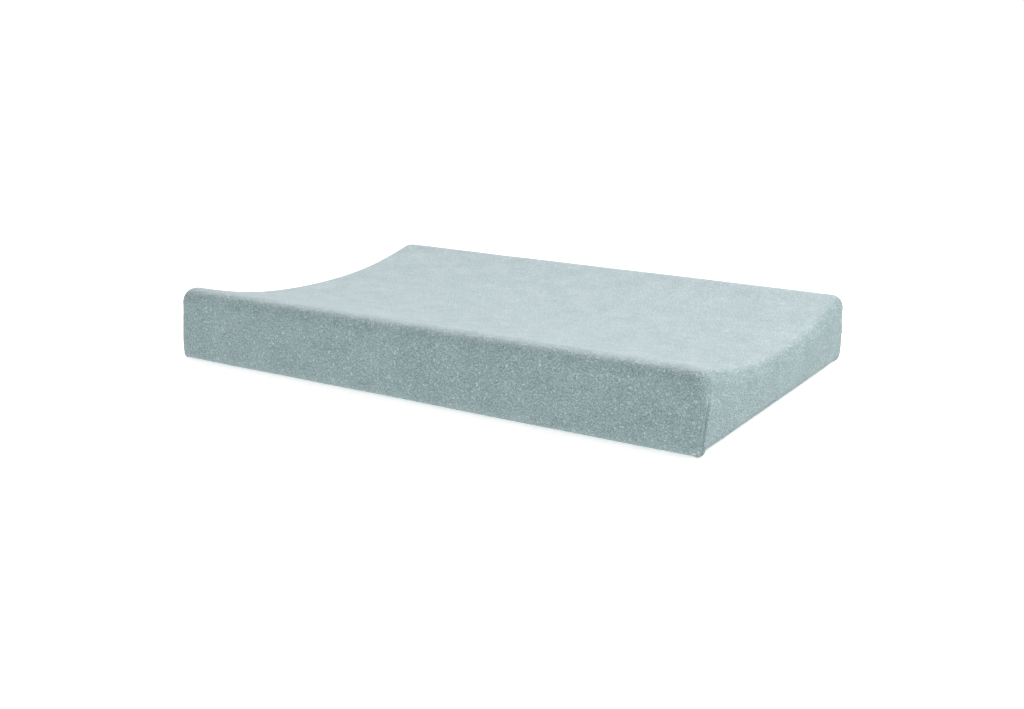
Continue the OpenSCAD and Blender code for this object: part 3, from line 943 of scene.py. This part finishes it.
def make_foam():
    skin = 1.2  # from the case's outside to the foam, underneath
    layer = Layer(CASE_INSET + 1.8, CASE_DROP + 1.3, CASE_R - 1, low_r=CASE_R[0] - 3, foot=5.0,
                  z0=STEP_H + skin)
    grid = Lattice(axis_samples(HALF_L, 84, 7), axis_samples(HALF_W, 58, 7), wall_rings(4, 10, 5))
    shape = grid.points(layer)
    shape -= normals_of(shape, grid.faces) * 0.12 * (1 + noise_at(shape, 9.0))[:, None]

    def plan(a, b, r, z):
        return np.column_stack([rounded_path(a, b, r, (84, 58), 7)[0], np.full(grid.around, z)])

    edge = OPENING_R - 4
    inset = PLATEAU_INSET + skin
    hall = [GROOVE_HALF_L + 1.6, GROOVE_HALF_W + 1.6]
    under = [plan(HALF_L - inset, HALF_W - inset, edge, STEP_H + skin),
             plan(HALF_L - inset, HALF_W - inset, edge, 2.4),
             plan(HALF_L - inset - 1.5, HALF_W - inset - 1.5, edge - 1.5, skin)]
    for t in np.linspace(0, 1, 12)[1:]:
        ring = under[2] * (1 - t) + plan(hall[0], hall[1], 1.5, skin) * t
        under.append(ring)
    under += [plan(hall[0], hall[1], 1.5, 9.2), plan(hall[0] - 1, hall[1] - 1, 1.0, 9.2)]
    n = len(shape)
    points = np.concatenate([shape] + under)
    loops = [grid.loops[0]] + [n + k * grid.around + np.arange(grid.around)
                               for k in range(len(under))]
    faces = grid.faces.tolist()
    for high, low in zip(loops[:-1], loops[1:]):
        faces += np.stack([low, np.roll(low, -1), np.roll(high, -1), high], -1).tolist()
    faces.append(loops[-1][::-1].tolist())
    return piece("foam_core", points, faces, "pad", "foam", foam, ["foam_core"])


foam_core = make_foam()

# ---- Vents, label and zip ----


def turned(profile, sides=40):
    """Points and faces of a closed profile of (radius, height) turned about Z."""
    profile = np.array(profile, float)
    turn = np.linspace(0, 2 * math.pi, sides, endpoint=False)
    points = np.stack([np.outer(np.cos(turn), profile[:, 0]), np.outer(np.sin(turn), profile[:, 0]),
                       np.tile(profile[:, 1], (sides, 1))], -1).reshape(-1, 3)
    return points, quads(np.arange(len(points)).reshape(sides, len(profile)), True, True)


VENT_FLANGE, VENT_BARREL = 6.5, 4.0


def at_vents(points):
    """A shape about Z, placed at each of the four vents and facing out."""
    low, high = box_mm("vent_eyelets")
    y, z = high[1] - VENT_FLANGE, (low[2] + high[2]) / 2
    placed = []
    for sx in (-1, 1):
        for sy in (-1, 1):
            out = points[:, 2] + HALF_L - CASE_INSET
            placed.append(np.column_stack([sx * out, sx * points[:, 0] + sy * y,
                                           z + points[:, 1]]))
    return placed


def make_vents():
    flange, barrel = VENT_FLANGE, VENT_BARREL
    curl = [(flange - 0.25 + 0.25 * math.cos(a), 0.05 + 0.2 * math.sin(a))
            for a in np.linspace(-math.pi / 2, math.pi / 2, 7)]
    throat = [(barrel - 0.55 + 1.4 * (1 - math.sin(a)), 0.5 - 1.4 * (1 - math.cos(a)) * 0.4)
              for a in np.linspace(0.25, math.pi / 2, 6)]
    profile = [(barrel, -0.15)] + curl + [(flange - 1.6, 0.46)] + throat
    profile += [(barrel - 0.55, -1.55), (barrel, -1.55)]
    for name, shape in (("vent_eyelets", profile),
                        ("vent_washers", [(4.15, -1.6), (6.2, -1.6), (6.5, -1.45), (6.5, -1.1),
                                          (4.15, -1.05)])):
        points, faces = turned(shape)
        parts = [(p, faces) for p in at_vents(points)]
        piece(name, *join(parts), "pad", "vent_metal", nickel, [name])


def cut_vent_holes(wall):
    """Takes a round hole out of an end wall for each eyelet's barrel."""
    hole = VENT_BARREL + 0.1
    profile = [(hole, -5.0), (0.001, -5.0), (0.001, 5.0), (hole, 5.0)]
    points, faces = turned(profile, 32)
    barrels = join([(p, faces) for p in at_vents(points)])
    cutter = bpy.data.objects.new("cutter", closed_mesh("cutter", *barrels))
    bpy.context.scene.collection.objects.link(cutter)
    cut = wall.modifiers.new("vents", "BOOLEAN")
    cut.operation, cut.solver, cut.object = "DIFFERENCE", "EXACT", cutter
    dg = bpy.context.evaluated_depsgraph_get()
    new = bpy.data.meshes.new_from_object(wall.evaluated_get(dg), depsgraph=dg)
    wall.modifiers.remove(cut)
    old, wall.data = wall.data, new
    bpy.data.meshes.remove(old)
    bpy.data.objects.remove(cutter)


make_vents()
for side in ("left", "right"):
    cut_vent_holes(case_shell[side])
case_label_low, case_label_high = box_mm("case_care_label")
plate("case_care_label", case_label_low, case_label_high, LABEL_WAVE, "pad", "label",
      label_satin, ["case_care_label"], axis=1)


def make_coil(name, side):
    """A wound coil: flattened loops that reach from the tape's edge to the middle."""
    pitch, per_turn = 1.3, 12
    length = coil_high[0] - coil_low[0]
    turns = int(length / pitch)
    t = np.linspace(0, turns, turns * per_turn + 1)
    angle = 2 * math.pi * t
    shift = 0.0 if side > 0 else 0.5
    x = coil_low[0] + 0.4 + (t + 0.12 * np.sin(2 * angle) + shift) * pitch * 0.998
    inner, outer = 0.76, coil_high[1] - 0.32
    middle, reach = (inner + outer) / 2, (outer - inner) / 2
    y = middle - reach * np.cos(angle)
    z = (coil_low[2] + coil_high[2]) / 2 + 0.66 * np.sin(angle)
    points, faces = tube(np.column_stack([x, side * y, z]), 0.33, 6, upward=(1, 0.01, 0))
    return piece(name, points, faces, "pad", "zip_nylon", nylon, [name])


def make_tape(name, side):
    low, high = box_mm(name)
    xs = np.linspace(low[0], high[0], 160)
    near = np.where(xs < SLIDER_X - 5, 0.55, np.minimum(0.55 + (xs - SLIDER_X + 5) * 0.25, 1.6))
    ys = np.array([0.0, 0.06, 0.2, 0.4, 0.6, 0.8, 0.94, 1.0])
    far = max(abs(low[1]), abs(high[1]))
    plan_y = near[:, None] + (far - near)[:, None] * ys[None, :]
    ripple = 0.05 * np.sin(xs / 3.1)[:, None] * ys[None, :] ** 2
    z = np.full_like(plan_y, low[2] + 0.12) + ripple
    gx = np.repeat(xs[:, None], len(ys), 1)
    points = np.stack([gx, side * plan_y, z], -1).reshape(-1, 3)
    faces = quads(np.arange(len(points)).reshape(len(xs), len(ys)))[:, [0, 3, 2, 1]]
    if side < 0:
        faces = faces[:, ::-1]
    slab = thicken(points, faces, 0.36, np.tile([0, 0, -1.0], (len(points), 1)))
    return piece(name, *slab, "pad", "zip_tape", tape_woven, [name])


for coil, tape, side in (("zip_coil_front", "zip_tape_front", -1),
                         ("zip_coil_back", "zip_tape_back", 1)):
    make_coil(coil, side)
    make_tape(tape, side)


def bevelled(node, body, material, width=0.16):
    """The CAD node's own mesh with its edges eased, as a piece that stands for it."""
    mesh = cad_mesh(node).copy()
    mesh.name = node + "_eased"
    work = bpy.data.objects.new(node + "_eased", mesh)
    bpy.context.scene.collection.objects.link(work)
    weld = work.modifiers.new("weld", "WELD")
    weld.merge_threshold = 0.00001
    ease = work.modifiers.new("ease", "BEVEL")
    ease.width, ease.segments, ease.limit_method = width * MM, 2, "ANGLE"
    ease.angle_limit = math.radians(35)
    ease.use_clamp_overlap = True
    final = bpy.data.meshes.new_from_object(work.evaluated_get(
        bpy.context.evaluated_depsgraph_get()))
    bpy.data.objects.remove(work)
    final.materials.clear()
    final.materials.append(material)
    final.shade_smooth()
    final.set_sharp_from_angle(angle=math.radians(32))
    made = bpy.data.objects.new(node + "_eased", final)
    bpy.context.scene.collection.objects.link(made)
    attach(made, body)
    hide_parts(node)
    return made


for node, body in (("zip_slider", "zip_slider"), ("zip_pull", "zip_pull"),
                   ("zip_top_stops", "pad"), ("zip_bottom_stop", "pad")):
    bevelled(node, body, nickel)
elastic = cad_mesh("hem_elastic")
elastic.materials.clear()
elastic.materials.append(elastic_woven)

# ---- Floor and light ----

LIGHT_ABOVE, LIGHT_BELOW, FLOOR_GLOW = 0.76, 1.06, 0.475
KEY_AT, KEY_POWER, KEY_TINT = (1.4, 1.8, 2.4), 84.0, (1.0, 0.97, 0.96)


def make_floor():
    s = Shader("floor", Roughness=0.9, Specular_IOR_Level=0.1, Emission_Strength=FLOOR_GLOW)
    s.bsdf.inputs["Emission Color"].default_value = (1.0, 0.97, 0.97, 1)
    s.colour(s.mix(s.noise(400.0), (0.92, 0.89, 0.89), (0.94, 0.91, 0.91)))
    clear = s.add("ShaderNodeBsdfTransparent").outputs[0]
    under = s.add("ShaderNodeNewGeometry").outputs["Backfacing"]
    mix = s.tree.nodes.new("ShaderNodeMixShader")
    out = s.tree.nodes["Material Output"]
    s.tree.links.new(under, mix.inputs[0])
    s.tree.links.new(s.bsdf.outputs[0], mix.inputs[1])
    s.tree.links.new(clear, mix.inputs[2])
    s.tree.links.new(mix.outputs[0], out.inputs["Surface"])
    half, z = 20.0, -0.0003
    mesh = bpy.data.meshes.new("floor")
    mesh.from_pydata([(-half, -half, z), (half, -half, z), (half, half, z), (-half, half, z)],
                     [], [(0, 1, 2, 3)])
    mesh.materials.append(s.material)
    floor = bpy.data.objects.new("floor", mesh)
    bpy.context.scene.collection.objects.link(floor)
    floor.visible_diffuse = floor.visible_shadow = False


def area_light(name, at, size, power):
    data = bpy.data.lights.new(name, "AREA")
    data.shape, data.size, data.energy = "DISK", size, power
    lamp = bpy.data.objects.new(name, data)
    lamp.location = at
    lamp.rotation_euler = (-Vector(at)).to_track_quat("-Z", "Y").to_euler()
    bpy.context.scene.collection.objects.link(lamp)
    return lamp


def light_scene():
    world = bpy.data.worlds.new("studio")
    world.use_nodes = True
    tree = world.node_tree
    place = tree.nodes.new("ShaderNodeTexCoord")
    split = tree.nodes.new("ShaderNodeSeparateXYZ")
    level = tree.nodes.new("ShaderNodeMapRange")
    sky = tree.nodes.new("ShaderNodeValToRGB")
    tree.links.new(place.outputs["Generated"], split.inputs[0])
    tree.links.new(split.outputs["Z"], level.inputs["Value"])
    level.inputs["From Min"].default_value = -1.0
    tree.links.new(level.outputs[0], sky.inputs[0])
    tree.links.new(sky.outputs[0], tree.nodes["Background"].inputs["Color"])
    ramp = sky.color_ramp.elements
    ramp[0].position, ramp[1].position = 0.47, 0.5
    ramp.new(0.54)
    ramp.new(0.6)
    for stop, grey in zip(ramp, (LIGHT_BELOW, 1.04, 1.04, LIGHT_ABOVE)):
        stop.color = (grey, grey, grey, 1.0)
    bpy.context.scene.world = world
    area_light("key", KEY_AT, 1.6, KEY_POWER).data.color = KEY_TINT
    view = bpy.context.scene.view_settings
    view.view_transform, view.look, view.exposure, view.gamma = "Standard", "None", 0.0, 1.0


make_floor()
light_scene()
